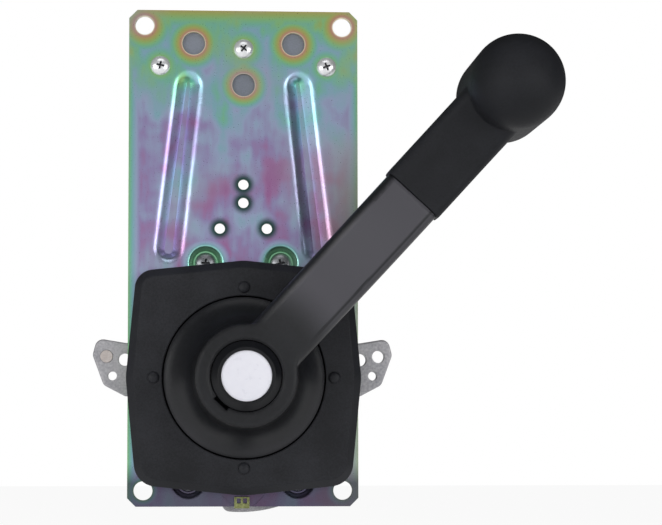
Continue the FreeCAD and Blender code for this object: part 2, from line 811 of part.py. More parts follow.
# Shift arm: flat die-cast arm with a lug each side and a hub with the lost-motion window
shift = new_body("shift_arm_form")
left = [(f"-{along}", across) for along, across in lug]
pad(shift, "-arm_back", "arm_thick", backwards=True,
    corners=lug[::-1] + [("0", "lug_root")] + left + [("0", "-lug_root")])
outer = value("lug_inner") + 1
dress(shift, "Fillet", "lug_round", lambda e: upright(e) and abs(e.BoundBox.Center.x) > outer)
dress(shift, "Fillet", "lug_edge", lambda e: on_rim(e, "arm_back"))
pad(shift, "-arm_back", "arm_hub_back - arm_back", backwards=True, rings=[("0", "0", "arm_hub_radius")])
pocket(shift, "-arm_back", "arm_hub_back", rings=[("0", "0", "shaft_radius + run_gap")])
pocket(shift, "-arm_back", "arm_thick", rings=[
    (x if side > 0 else f"-({x})", z, r) for side in (-1, 1) for x, z, r in lug_holes])
window_half = "lost_motion + asin((drive_pin_radius + run_gap) / shaft_radius) / 1 deg"
reach = f"window_radius * cos(({window_half}) * 1 deg)"
spread = f"window_radius * sin(({window_half}) * 1 deg)"
window_front = "drive_pin_back - drive_pin_radius - 4 * run_gap"
for side in (1, -1):
    sector = [("0", "0"), (f"{side} * ({reach})", f"-{side} * ({spread})", "window_radius", 1),
              (f"{side} * ({reach})", f"{side} * ({spread})")]
    pocket(shift, f"-({window_front})", "arm_hub_back", corners=sector)
notches = []
for i, turn in enumerate(["-detent_turn", "0", "detent_turn"]):
    notch = doc.addObject("Part::Sphere", f"detent_notch_{i}")
    bind(notch, "Radius", "ball_radius + ball_gap")
    bind(notch, "Placement.Base.x", f"ball_height * sin(({turn}) * 1 deg)")
    bind(notch, "Placement.Base.y", "arm_hub_back + ball_radius - notch_sink")
    bind(notch, "Placement.Base.z", f"ball_height * cos(({turn}) * 1 deg)")
    notches.append(notch)
finish(cut("shift_arm_cast", shift, notches), "shift_arm")


def cable_pin(name, back, thick, across, up):
    body = rod(name + "_body", "lug_hole_radius - run_gap", f"{back} - cable_pin_nose",
               f"{thick} + cable_pin_nose + cable_pin_tail", across, up)
    collar = rod(name + "_collar", "cable_pin_head", f"{back} + {thick}", "cable_pin_proud", across, up)
    return joined(name, [body, collar])


def pin_clip(name, back, thick, across, up):
    start = f"{back} + {thick} + cable_pin_tail - 2 * clip_thick"
    ring = rod(name + "_ring", "cable_pin_head", start, "clip_thick", across, up)
    hole = rod(name + "_hole", "lug_hole_radius", f"{start} - overshoot", "clip_thick + 2 * overshoot", across, up)
    return cut(name, ring, [hole])


shift_pin_place = ("arm_back", "arm_thick", "-lug_hole_reach", "lug_hole_height")
finish(cable_pin("shift_cable_pin", *shift_pin_place), "shift_cable_pin")
finish(pin_clip("shift_pin_clip", *shift_pin_place), "shift_pin_clip")

# Detent ball, its spring and plug; brake pad and its screw
ball = doc.addObject("Part::Sphere", "detent_ball")
bind(ball, "Radius", "ball_radius")
bind(ball, "Placement.Base.y", "arm_hub_back + ball_gap + ball_radius")
bind(ball, "Placement.Base.z", "ball_height")
finish(ball, "detent_ball")


def coil(label, radius, wire, back, length, up):
    """A compression spring along Y with its length in whole turns."""
    helix = doc.addObject("Part::Helix", label + "_line")
    bind(helix, "Radius", f"{radius} - {wire}")
    bind(helix, "Height", f"{length} - 2 * {wire}")
    bind(helix, "Pitch", f"({length} - 2 * {wire}) / spring_turns")
    wire_end = doc.addObject("Part::Circle", label + "_section")
    bind(wire_end, "Radius", wire)
    wire_end.Placement = Placement(Vector(), Rotation(Vector(1, 0, 0), 90))
    bind(wire_end, "Placement.Base.x", f"{radius} - {wire}")
    sweep = doc.addObject("Part::Sweep", label)
    sweep.Sections = [wire_end]
    sweep.Spine = (helix, ["Edge1"])
    sweep.Solid = True
    sweep.Frenet = True
    sweep.Placement = Placement(Vector(), Rotation(Vector(1, 0, 0), -90))
    bind(sweep, "Placement.Base.y", f"{back} + {wire}")
    bind(sweep, "Placement.Base.z", up)
    return sweep


ball_rear = "arm_hub_back + ball_gap + 2 * ball_radius"
plug_front = "case_front + case_thick - plug_length"
finish(coil("detent_spring", "ball_radius - 2 * run_gap", "spring_wire", ball_rear,
            f"{plug_front} - ({ball_rear})", "ball_height"), "detent_spring")
finish(rod("detent_plug", "ball_radius", plug_front, "plug_length", "0", "ball_height"), "detent_plug")
for name, label, start, length in (
        ("brake_pad", "brake_pad", "shaft_radius + run_gap", "brake_pad_length"),
        ("brake_screw", "brake_screw", "shaft_radius + run_gap + brake_pad_length", "brake_screw_length")):
    bar = doc.addObject("Part::Cylinder", name)
    bind(bar, "Radius", "brake_radius")
    bind(bar, "Height", length)
    bar.Placement = Placement(Vector(), Rotation(Vector(0, 1, 0), 90))
    bind(bar, "Placement.Base.x", start)
    bind(bar, "Placement.Base.y", "brake_back")
    finish(bar, label)

# Throttle crank with its arc-shaped end, its cable pin, and the washer and nut that hold it
crank = new_body("throttle_crank")
crank_place = ("0", "0", "crank_lean")
crank_side = "crank_reach * sin(crank_spread * 1 deg)"
crank_end = "crank_reach * cos(crank_spread * 1 deg)"
pad(crank, "-crank_back", "crank_thick", backwards=True, place=crank_place, corners=[
    ("-crank_hub_radius", "0"),
    (f"-({crank_side})", f"-({crank_end})", "crank_reach", 1),
    (crank_side, f"-({crank_end})"),
    ("crank_hub_radius", "0"),
])
crank_outer = value("crank_hole_reach")
dress(crank, "Fillet", "lug_round",
      lambda e: upright(e) and math.hypot(e.BoundBox.Center.x, e.BoundBox.Center.z) > crank_outer)
pad(crank, "-crank_back", "crank_thick", backwards=True, rings=[("0", "0", "crank_hub_radius")])
dress(crank, "Fillet", "lug_edge", lambda e: on_rim(e, "crank_back"))
pocket(crank, "-crank_back", "crank_thick", place=crank_place, rings=[
    ("0", "0", "shaft_radius + run_gap"),
    ("0", "-crank_hole_reach", "lug_hole_radius"),
    ("0", "-crank_inner_hole_reach", "lug_hole_radius"),
])
finish(crank, "throttle_crank")
throttle_place = ("crank_back", "crank_thick", "crank_hole_reach * sin(crank_lean * 1 deg)",
                  "-crank_hole_reach * cos(crank_lean * 1 deg)")
finish(cable_pin("throttle_cable_pin", *throttle_place), "throttle_cable_pin")
finish(pin_clip("throttle_pin_clip", *throttle_place), "throttle_pin_clip")
crank_rear = "crank_back + crank_thick"
washer = cut("shaft_washer", rod("shaft_washer_disc", "washer_radius", crank_rear, "washer_thick"),
             [rod("shaft_washer_hole", "shaft_radius + run_gap", f"{crank_rear} - overshoot",
                  "washer_thick + 2 * overshoot")])
finish(washer, "shaft_washer")


def nut(label, flats, back, thick):
    solid = doc.addObject("Part::Prism", label + "_hex")
    solid.Polygon = 6
    bind(solid, "Circumradius", f"{flats} / sqrt(3)")
    bind(solid, "Height", thick)
    solid.Placement = Placement(Vector(), Rotation(Vector(1, 0, 0), -90))
    bind(solid, "Placement.Base.y", back)
    hole = rod(label + "_hole", "shaft_radius + run_gap", f"{back} - overshoot", f"{thick} + 2 * overshoot")
    return finish(cut(label, solid, [hole]), label)


nut("shaft_nut", "nut_flats", f"{crank_rear} + washer_thick", "nut_thick")
nut("lever_nut", "lever_nut_flats", "-recess_floor - lever_nut_thick", "lever_nut_thick")


def lean(thing):
    """Stands the lever and what turns with it at the angle it was clamped on the shaft."""
    thing.Placement = Placement(Vector(), Rotation(Vector(0, 1, 0), 1))
    bind(thing, "Placement.Rotation.Angle", "lever_lean * 1 deg")
    return thing


# Lever casting: bevelled swept arm on a bell-shaped hub, hollow behind
lever = new_body("lever")
arm_side = new_sketch(lever, "YZ_Plane")
arm_run = "(sleeve_start - soft_gap - recess_radius)"


def sweep_up(root, end, rise):
    """The knee and second radius of an S-curve that leaves root level and ends level."""
    turn = f"(2 * atan(({end} - {root}) / {arm_run}))"
    knee = (f"-{root} - {rise} * (1 - cos({turn}))", f"recess_radius + {rise} * sin({turn})")
    return knee, f"{arm_run} / sin({turn}) - {rise}"


back_knee, back_level = sweep_up("arm_root_back", "arm_end_back", "arm_back_rise")
front_knee, front_level = sweep_up("hub_front", "arm_end_front", "arm_front_rise")
closed_outline(arm_side, [
    ("-hub_front", "0"),
    ("-arm_root_back", "0"),
    ("-arm_root_back", "recess_radius", "arm_back_rise", 1),
    (*back_knee, back_level, -1),
    ("-arm_end_back", "sleeve_start - soft_gap"),
    ("-arm_end_front", "sleeve_start - soft_gap", front_level, 1),
    (*front_knee, "arm_front_rise", -1),
    ("-hub_front", "recess_radius"),
])
arm = feature(lever, "Pad", arm_side, "arm_width")
arm.Midplane = True
doc.recompute()
half_arm = value("arm_width / 2")
dress(lever, "Fillet", "arm_round", lambda e: e.BoundBox.XLength < 0.001
      and e.BoundBox.ZLength > value("arm_round") and abs(abs(e.BoundBox.Center.x) - half_arm) < 0.01)
tang_middle = "-(sleeve_front - sleeve_thick / 2)"
tang_root = "sleeve_start - tang_thick / 3"
pad(lever, tang_root, f"tang_end - ({tang_root})", role="XY_Plane", corners=[
    ("-tang_width / 2", f"{tang_middle} - tang_thick / 2"),
    ("tang_width / 2", f"{tang_middle} - tang_thick / 2"),
    ("tang_width / 2", f"{tang_middle} + tang_thick / 2"),
    ("-tang_width / 2", f"{tang_middle} + tang_thick / 2"),
])
revolve(lever, [
    ("0", "-hub_back"),
    ("hub_base_radius", "-hub_back"),
    ("hub_base_radius", "-hub_back - hub_rim", "hub_cove_radius", 1),
    ("hub_neck_radius", "-hub_neck_front"),
    ("hub_face_radius", "-hub_front"),
    ("0", "-hub_front"),
])


def at_root(edge):
    """True for an edge in which one of the arm's sides meets the hub."""
    box = edge.BoundBox
    beside = min(abs(box.XMin), abs(box.XMax)) > half_arm - value("arm_round") and box.XMin * box.XMax > 0
    away = math.hypot(box.Center.x, box.Center.z)
    ahead = box.YMax < -value("arm_root_back + arm_round")
    above = box.Center.z > half_arm
    return beside and ahead and above and value("hub_face_radius") - 1 < away < value("hub_neck_radius") + 1


dress(lever, "Fillet", "arm_root_round", at_root)
revolve(lever, kind="Groove", corners=[
    ("0", "-hub_front - overshoot"),
    ("0", "-recess_floor"),
    ("recess_radius", "-recess_floor"),
    ("recess_radius", "-hub_front - overshoot"),
])
hollow_front = "recess_floor - hub_wall"
revolve(lever, kind="Groove", corners=[
    ("boss_radius", "overshoot - hub_back"),
    ("boss_radius", f"-({hollow_front})"),
    ("hub_neck_radius - hub_wall", f"-({hollow_front})", "hub_cove_radius + hub_wall", -1),
    ("hub_base_radius - hub_wall", "-hub_back - hub_rim"),
    ("hub_base_radius - hub_wall", "overshoot - hub_back"),
])
pad(lever, "boss_back", "hub_back - boss_back", rings=[("0", "0", "boss_radius")])
pocket(lever, "hub_front", "hub_front", rings=[("0", "0", "shaft_radius + run_gap")])
pocket(lever, "hub_front", "pry_depth", corners=[
    ("-pry_width / 2", "-recess_radius - pry_proud"),
    ("pry_width / 2", "-recess_radius - pry_proud"),
    ("pry_width / 2", "pry_proud - recess_radius"),
    ("-pry_width / 2", "pry_proud - recess_radius"),
])
finish(lean(lever), "lever")

# Rubber sleeve and cross grip in one moulding over the lever's tang
grip = new_body("grip")
pad(grip, "sleeve_start", "grip_reach - sleeve_start", role="XY_Plane", corners=[
    ("-sleeve_width / 2", "-sleeve_front"),
    ("sleeve_width / 2", "-sleeve_front"),
    ("sleeve_width / 2", "sleeve_thick - sleeve_front"),
    ("-sleeve_width / 2", "sleeve_thick - sleeve_front"),
])
dress(grip, "Fillet", "sleeve_round", lambda e: e.BoundBox.ZLength > value("sleeve_round"))
grip_sketch = new_sketch(grip, "YZ_Plane", "0", ("0", "grip_reach", "0"))
closed_outline(grip_sketch, [
    ("-grip_front - grip_radius", "0", "grip_radius", -1),
    ("-grip_front", "grip_radius"),
    ("grip_span - grip_front", "grip_radius", "grip_radius", -1),
    ("grip_span - grip_front + grip_radius", "0"),
])
ball_grip = grip.newObject("PartDesign::Revolution", "grip_turned")
ball_grip.Profile = grip_sketch
ball_grip.ReferenceAxis = (grip_sketch, ["H_Axis"])
ball_grip.Angle = 360
doc.recompute()
pocket(grip, "sleeve_start", "tang_end + soft_gap - sleeve_start", role="XY_Plane", backwards=True, corners=[
    ("-tang_width / 2 - run_gap", f"{tang_middle} - tang_thick / 2 - run_gap"),
    ("tang_width / 2 + run_gap", f"{tang_middle} - tang_thick / 2 - run_gap"),
    ("tang_width / 2 + run_gap", f"{tang_middle} + tang_thick / 2 + run_gap"),
    ("-tang_width / 2 - run_gap", f"{tang_middle} + tang_thick / 2 + run_gap"),
])
finish(lean(grip), "grip")

# Pull button on its stem, its plain disc, return spring and spring cap
button = new_body("hub_button")
skirt_back = "button_front - button_skirt"
web_back = "button_front - button_web"
seat = "button_front - disc_sink - disc_thick"
revolve(button, [
    ("0", f"-({seat})"),
    ("disc_radius + run_gap", f"-({seat})"),
    ("disc_radius + run_gap", "-button_front"),
    ("button_radius - button_bevel", "-button_front"),
    ("button_radius", "button_bevel - button_front"),
    ("button_radius", f"-({skirt_back})"),
    ("button_hollow", f"-({skirt_back})"),
    ("button_hollow", f"-({web_back})"),
    ("stem_radius", f"-({web_back})"),
    ("stem_radius", "-collar_front - collar_thick"),
    ("collar_radius", "-collar_front - collar_thick"),
    ("collar_radius", "-collar_front"),
    ("stem_radius", "-collar_front"),
    ("stem_radius", "plate_thick - 2 * soft_gap"),
    ("0", "plate_thick - 2 * soft_gap"),
])
finish(button, "hub_button")
finish(rod("button_disc", "disc_radius", f"-({seat}) - disc_thick", "disc_thick"), "button_disc")
cap_back = "spring_cap_front - spring_cap_thick"
spring_front = "collar_front + collar_thick"
finish(coil("button_spring", "collar_radius", "spring_wire", f"-({cap_back})",
            f"({cap_back}) - ({spring_front})", "0"), "button_spring")
cap_ring = rod("spring_cap_ring", "spring_bore - run_gap", "-spring_cap_front", "spring_cap_thick")
cap_hole = rod("spring_cap_hole", "stem_radius + run_gap", "-spring_cap_front - overshoot",
               "spring_cap_thick + 2 * overshoot")
finish(cut("spring_cap", cap_ring, [cap_hole]), "spring_cap")

# Spring clip hooked over the plate's lower edge under the cover
tab = new_body("cover_clip")
pad(tab, "tab_side - tab_width / 2", "tab_width", role="YZ_Plane", corners=[
    ("-run_gap", "-plate_bottom - run_gap"),
    ("-run_gap", "tab_rise - plate_bottom"),
    ("-tab_thick - run_gap", "tab_rise - plate_bottom"),
    ("-tab_thick - run_gap", "-plate_bottom - tab_thick - run_gap"),
    ("plate_thick + tab_thick + run_gap", "-plate_bottom - tab_thick - run_gap"),
    ("plate_thick + tab_thick + run_gap", "tab_rise - plate_bottom"),
    ("plate_thick + run_gap", "tab_rise - plate_bottom"),
    ("plate_thick + run_gap", "-plate_bottom - run_gap"),
])
for side in (1, -1):
    pocket(tab, "2 * tab_thick", "2 * tab_thick", corners=[
        (f"tab_side + {side} * tab_bar / 2", "tab_sill - plate_bottom"),
        (f"tab_side + {side} * (tab_bar / 2 + tab_window_width)", "tab_sill - plate_bottom"),
        (f"tab_side + {side} * (tab_bar / 2 + tab_window_width)", "tab_sill + tab_window_height - plate_bottom"),
        (f"tab_side + {side} * tab_bar / 2", "tab_sill + tab_window_height - plate_bottom"),
    ])
finish(tab, "cover_clip")

doc.recompute()
for thing in doc.Objects:
    if any(word in thing.State for word in ("Invalid", "Error")):
        raise RuntimeError(f"{thing.Label} failed: {thing.State}")
for thing in subparts:
    if thing.Shape.isNull() or not thing.Shape.isValid() or not thing.Shape.Solids:
        raise RuntimeError(f"{thing.Label} has no valid solid")
os.makedirs("parts", exist_ok=True)
for thing in subparts:
    thing.Shape.exportStep(f"parts/{thing.Label}.step")
    print(thing.Label, len(thing.Shape.Solids), round(thing.Shape.Volume))
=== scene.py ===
import math
import bpy
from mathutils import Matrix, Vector


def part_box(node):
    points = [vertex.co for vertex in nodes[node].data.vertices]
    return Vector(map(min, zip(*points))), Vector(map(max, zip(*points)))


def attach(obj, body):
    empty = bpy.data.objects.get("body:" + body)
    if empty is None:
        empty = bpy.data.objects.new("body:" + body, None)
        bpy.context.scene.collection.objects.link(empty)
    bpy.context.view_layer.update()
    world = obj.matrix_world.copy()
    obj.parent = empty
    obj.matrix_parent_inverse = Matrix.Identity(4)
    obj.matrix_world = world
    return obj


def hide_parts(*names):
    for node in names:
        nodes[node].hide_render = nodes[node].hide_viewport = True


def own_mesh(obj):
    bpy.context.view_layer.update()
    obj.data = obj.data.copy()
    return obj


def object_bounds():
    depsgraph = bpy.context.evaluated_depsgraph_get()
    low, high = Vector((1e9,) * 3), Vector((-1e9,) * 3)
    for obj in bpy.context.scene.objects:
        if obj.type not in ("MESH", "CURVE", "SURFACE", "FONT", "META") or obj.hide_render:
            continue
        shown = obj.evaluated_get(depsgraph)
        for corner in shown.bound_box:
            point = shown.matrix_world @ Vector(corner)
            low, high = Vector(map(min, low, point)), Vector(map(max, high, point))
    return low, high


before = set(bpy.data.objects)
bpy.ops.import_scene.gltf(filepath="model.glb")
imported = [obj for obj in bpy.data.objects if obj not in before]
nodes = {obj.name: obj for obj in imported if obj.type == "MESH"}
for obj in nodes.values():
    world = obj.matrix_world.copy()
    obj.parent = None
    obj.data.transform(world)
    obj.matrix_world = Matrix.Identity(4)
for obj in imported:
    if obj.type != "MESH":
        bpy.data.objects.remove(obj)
cad_low, cad_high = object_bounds()
bpy.ops.object.select_all(action="DESELECT")


# Mounting plate: 2 mm sheet steel pressed with two ribs and four screw dishes, zinc plated and
# dipped in a yellow chromate bath. The film is thickest round the holes and along the edges, so
# its colour runs from gold at the rims through green and blue to violet and pink in the middle.
def linear(code):
    """The linear colour of an sRGB hex value."""
    parts = [int(code[i:i + 2], 16) / 255 for i in (1, 3, 5)]
    return [p / 12.92 if p <= 0.04045 else ((p + 0.055) / 1.055) ** 2.4 for p in parts] + [1]


def add(finish, kind, sockets=None, stops=None, **settings):
    """A shader node with its settings and links: a link is (node, output), a colour is hex. A ramp's
    two end stops come first. A Mix of colours has them in sockets 6 and 7, and its output is 2."""
    node = finish.node_tree.nodes.new("ShaderNode" + kind)
    for name, value in settings.items():
        setattr(node, name, value)
    for name, value in (sockets or {}).items():
        socket = node.inputs[name]
        if isinstance(value, tuple) and isinstance(value[0], bpy.types.Node):
            finish.node_tree.links.new(value[0].outputs[value[1]], socket)
        else:
            socket.default_value = linear(value) if isinstance(value, str) else value
    for i, (place, code) in enumerate(stops or []):
        ramp = node.color_ramp.elements
        stop = ramp[i] if i < 2 else ramp.new(place)
        stop.position = place
        stop.color = linear(code)
    return node


def new_finish(name):
    """An empty material and its texture coordinates."""
    finish = bpy.data.materials.new(name)
    finish.use_nodes = True
    finish.node_tree.nodes.clear()
    return finish, add(finish, "TexCoord")


def wear(names, finish):
    """Gives CAD pieces their finish in place of the one they came with."""
    for name in names:
        nodes[name].data.materials.clear()
        nodes[name].data.materials.append(finish)


plate_low, plate_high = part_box("mounting_plate")
corner_inset = 0.0075
corner_side, corner_top = plate_high.x - corner_inset, plate_high.z - corner_inset
corner_foot = plate_low.z + corner_inset
port_side, port_up, port_low = 0.024, 0.161, 0.141
anchor_side, anchor_up, anchor_top = 0.04, 0.15, 0.1585
dish_side, dish_up = 0.018, 0.055
corner_radius, port_radius, head_radius, dish_radius = 0.0045, 0.0055, 0.00475, 0.0075
film_spots = [
    # across, up and radius of each hole or head, the film at its rim, and how far out it thins away; a rim
    # film of 1.14 reaches the cream stop, a painted highlight on the rim
    (-corner_side, corner_top, corner_radius, 1.14, 0.015),
    (corner_side, corner_top, corner_radius, 1.14, 0.015),
    (-corner_side, corner_foot, corner_radius, 0.8, 0.004),
    (corner_side, corner_foot, corner_radius, 0.8, 0.004),
    (-port_side, port_up, port_radius, 1.14, 0.0125),
    (port_side, port_up, port_radius, 1.14, 0.0125),
    (0, port_low, port_radius, 1.14, 0.0105),
    (-anchor_side, anchor_up, head_radius, 0.8, 0.014),
    (anchor_side, anchor_up, head_radius, 0.76, 0.012),
    (0, anchor_top, head_radius, 0.84, 0.014),
    # a drop that dried between the middle head and the port under it
    (0, anchor_top - 0.009, 0.001, 0.84, 0.014),
    (-dish_side, dish_up, dish_radius, 0.72, 0.006),
    (dish_side, dish_up, dish_radius, 0.72, 0.006),
]
drain_holes = [(0, 0.0928), (0, 0.084), (-0.0113, 0.0716), (0.0113, 0.0716)]
drain_radius, stain_and_shade_radius = 0.0027, 0.0064

# The film's thickness, from 0 at bare violet: clouds, longer streaks where the bath ran off, and
# more of it towards the plate's top. Both noises lie about a half, which is taken off again.
cloud_width, streak_width, streak_stretch = 0.02174, 0.006667, 0.22
cloud_share, streak_share = 1.35, 0.55
rise_from, rise_to, film_below, film_above = 0.09, 0.166, 0.26, 0.64
chromate, on_plate = new_finish("yellow_chromate_on_zinc")
plate_spot = add(chromate, "SeparateXYZ", {"Vector": (on_plate, "Object")})
clouds = add(chromate, "TexNoise", {"Vector": (on_plate, "Object"), "Scale": 1 / cloud_width,
                                    "Detail": 2.5, "Roughness": 0.5})
hanging = add(chromate, "Mapping", {"Vector": (on_plate, "Object"), "Scale": (1, 1, streak_stretch)})
streaks = add(chromate, "TexNoise", {"Vector": (hanging, "Vector"), "Scale": 1 / streak_width, "Detail": 4})
rise = add(chromate, "MapRange", {"Value": (plate_spot, "Z"), "From Min": rise_from, "From Max": rise_to,
                                  "To Min": film_below, "To Max": film_above},
           interpolation_type="SMOOTHSTEP")
film = add(chromate, "Math", {0: (clouds, "Fac"), 1: cloud_share, 2: (rise, "Result")},
           operation="MULTIPLY_ADD")
film = add(chromate, "Math", {0: (streaks, "Fac"), 1: streak_share, 2: (film, 0)}, operation="MULTIPLY_ADD")
film = add(chromate, "Math", {0: (film, 0), 1: (cloud_share + streak_share) / 2}, operation="SUBTRACT")

# A halo of thicker film round each hole and head, and a band of it down the sides and along the top.
halo_blend, side_band, side_film, top_band, top_film = 0.06, 0.008, 0.78, 0.02, 0.98
for across, up, radius, rim_film, reach in film_spots:
    away = add(chromate, "VectorMath", {0: (on_plate, "Object"), 1: (across, 0, up)}, operation="DISTANCE")
    halo = add(chromate, "MapRange", {"Value": (away, "Value"), "From Min": radius,
                                      "From Max": radius + reach, "To Min": rim_film, "To Max": 0})
    film = add(chromate, "Math", {0: (film, 0), 1: (halo, "Result"), 2: halo_blend}, operation="SMOOTH_MAX")
aside = add(chromate, "Math", {0: (plate_spot, "X")}, operation="ABSOLUTE")
side_edge = add(chromate, "MapRange", {"Value": (aside, 0), "From Min": plate_high.x - side_band,
                                       "From Max": plate_high.x, "To Max": side_film})
top_edge = add(chromate, "MapRange", {"Value": (plate_spot, "Z"), "From Min": plate_high.z - top_band,
                                      "From Max": plate_high.z, "To Max": top_film})
for band in (side_edge, top_edge):
    film = add(chromate, "Math", {0: (film, 0), 1: (band, "Result"), 2: halo_blend}, operation="SMOOTH_MAX")

# The film's colours as it thickens: violet, blue, green, gold, and cream at the holes' very rims, where the
# cream is a painted highlight of their rounded edges.
full_film = 1.25
film = add(chromate, "Math", {0: (film, 0), 1: 1 / full_film}, operation="MULTIPLY")
colour = add(chromate, "ValToRGB", {"Fac": (film, 0)}, stops=[
    (0.0, "#ad6fa6"), (0.9, "#fff4cf"), (0.1, "#b283b5"), (0.21, "#a89dcb"), (0.33, "#aebedd"),
    (0.44, "#97c4d3"), (0.53, "#8acdb6"), (0.62, "#98d294"), (0.71, "#b2c878"), (0.79, "#c8b976"),
    (0.85, "#cfa085"), (0.88, "#dba99a")])

# Over them a pale haze in wide patches, dust on the lower right, and painted shade that darkens the plate
# towards its foot. Each sets in at the first value of its pair and is full at the second.
haze_width, haze_share, dust_share, foot_shade_share = 0.04167, 0.6, 0.7, 0.85
haze_fade, dust_across, dust_down, foot_shade_down = (0.5, 0.75), (0.03, 0.05), (0.12, 0.09), (-0.04, -0.05)
haze = add(chromate, "TexNoise", {"Vector": (on_plate, "Object"), "Scale": 1 / haze_width, "Detail": 1})
haze = add(chromate, "MapRange", {"Value": (haze, "Fac"), "From Min": haze_fade[0],
                                  "From Max": haze_fade[1], "To Max": haze_share})
colour = add(chromate, "Mix", {0: (haze, "Result"), 6: (colour, "Color"), 7: "#b4bac8"}, data_type="RGBA")
dust_side = add(chromate, "MapRange", {"Value": (plate_spot, "X"), "From Min": dust_across[0],
                                       "From Max": dust_across[1], "To Max": dust_share})
dust_low = add(chromate, "MapRange", {"Value": (plate_spot, "Z"), "From Min": dust_down[0],
                                      "From Max": dust_down[1]})
dust = add(chromate, "Math", {0: (dust_side, "Result"), 1: (dust_low, "Result")}, operation="MULTIPLY")
colour = add(chromate, "Mix", {0: (dust, 0), 6: (colour, 2), 7: "#b2afa4"}, data_type="RGBA")
# Painted shade: the plate turns darker towards its foot.
painted_foot_shade = add(chromate, "MapRange", {"Value": (plate_spot, "Z"), "From Min": foot_shade_down[0],
                                  "From Max": foot_shade_down[1], "To Max": foot_shade_share})
colour = add(chromate, "Mix", {0: (painted_foot_shade, "Result"), 6: (colour, 2), 7: "#464453"}, data_type="RGBA")

# Painted shade: black round the shaft, so that the gap round the hub shows dark as shade under the cover.
# Round the small holes' rims: green stain together with painted shade.
gap_shade_radius, stain_and_shade_share = 0.041, 0.95
from_shaft = add(chromate, "VectorMath", {0: (on_plate, "Object")}, operation="LENGTH")
painted_gap_shade = add(chromate, "MapRange", {"Value": (from_shaft, "Value"), "From Min": gap_shade_radius + 0.002,
                                       "From Max": gap_shade_radius})
colour = add(chromate, "Mix", {0: (painted_gap_shade, "Result"), 6: (colour, 2), 7: "#101013"}, data_type="RGBA")
# A dark green ring round each small hole: partly a stain from the bath, partly painted shade at its rim.
for across, up in drain_holes:
    away = add(chromate, "VectorMath", {0: (on_plate, "Object"), 1: (across, 0, up)}, operation="DISTANCE")
    stain_and_shade = add(chromate, "MapRange", {"Value": (away, "Value"), "From Min": drain_radius,
                                       "From Max": stain_and_shade_radius, "To Min": stain_and_shade_share, "To Max": 0},
                interpolation_type="SMOOTHSTEP")
    colour = add(chromate, "Mix", {0: (stain_and_shade, "Result"), 6: (colour, 2), 7: "#1d4a3c"}, data_type="RGBA")

# Satin under the film: a grain that is drawn 0.7 mm wide, coarser than the real one, so that it shows.
# Most of a noise lies between the low and the high value here.
satin_width, smooth_satin, rough_satin, noise_low, noise_high = 0.0007143, 0.27, 0.34, 0.3, 0.7
satin = add(chromate, "TexNoise", {"Vector": (on_plate, "Object"), "Scale": 1 / satin_width, "Detail": 2})
satin = add(chromate, "MapRange", {"Value": (satin, "Fac"), "From Min": noise_low, "From Max": noise_high,
                                   "To Min": smooth_satin, "To Max": rough_satin})
plated = add(chromate, "BsdfPrincipled", {"Base Color": (colour, 2), "Metallic": 0.88,
                                          "Roughness": (satin, "Result")})
add(chromate, "OutputMaterial", {"Surface": (plated, "BSDF")})
wear(["mounting_plate"], chromate)


# Cable anchor block: glass-filled nylon moulded in grey, held behind the plate, with the two cable
# bores. Its dull and slightly cloudy skin shows through the plate's three round ports.
def skin_of(name, light, dark, grain, relief, rough, edge=0.0006, edge_wear_and_highlight=0.0, edge_wear_and_highlight_tone="#ffffff", **sockets):
    """A moulded, cast, coated or plated skin in two tones: the width and relief of its grain and the radius
    of its soft edges are in metres, and its edges show another tone by a share that stands for edge wear and
    a painted highlight. A grain that is finer on the real piece is drawn at 0.6 mm or more, so that it
    shows."""
    cloud_width, mottle, tone_low, tone_high = 0.02222, 0.12, 0.75, 1.25
    kept_edge, worn_and_lit_edge = 0.97, 0.75    # cosines between the soft edge's normal and the true one
    finish, on_piece = new_finish(name)
    grains = add(finish, "TexNoise", {"Vector": (on_piece, "Object"), "Scale": 1 / grain, "Detail": 3})
    clouds = add(finish, "TexNoise", {"Vector": (on_piece, "Object"), "Scale": 1 / cloud_width, "Detail": 2})
    tone = add(finish, "Math", {0: (grains, "Fac"), 1: (clouds, "Fac")}, operation="ADD")
    tone = add(finish, "MapRange", {"Value": (tone, 0), "From Min": tone_low, "From Max": tone_high})
    colour = add(finish, "Mix", {0: (tone, "Result"), 6: dark, 7: light}, data_type="RGBA")
    soft_edges = add(finish, "Bevel", {"Radius": edge}, samples=4)
    # The soft edges are lightened, partly as wear and partly as a painted highlight where they catch the
    # light.
    if edge_wear_and_highlight:
        outline = add(finish, "NewGeometry")
        turned = add(finish, "VectorMath", {0: (soft_edges, "Normal"), 1: (outline, "Normal")},
                     operation="DOT_PRODUCT")
        lightened = add(finish, "MapRange", {"Value": (turned, "Value"), "From Min": kept_edge,
                                          "From Max": worn_and_lit_edge, "To Max": edge_wear_and_highlight})
        colour = add(finish, "Mix", {0: (lightened, "Result"), 6: (colour, 2), 7: edge_wear_and_highlight_tone}, data_type="RGBA")
    dull = add(finish, "MapRange", {"Value": (grains, "Fac"), "From Min": noise_low, "From Max": noise_high,
                                    "To Min": rough * (1 - mottle), "To Max": rough * (1 + mottle)})
    bump = add(finish, "Bump", {"Height": (grains, "Fac"), "Normal": (soft_edges, "Normal"),
                                "Distance": relief})
    skin = add(finish, "BsdfPrincipled", {"Base Color": (colour, 2), "Roughness": (dull, "Result"),
                                          "Normal": (bump, "Normal"), **sockets})
    add(finish, "OutputMaterial", {"Surface": (skin, "BSDF")})
    return finish


nylon = skin_of("glass_filled_nylon", "#767c88", "#666c77", grain=0.0006, relief=0.00001, rough=0.55,
                IOR=1.53)
wear(["cable_anchor_block"], nylon)
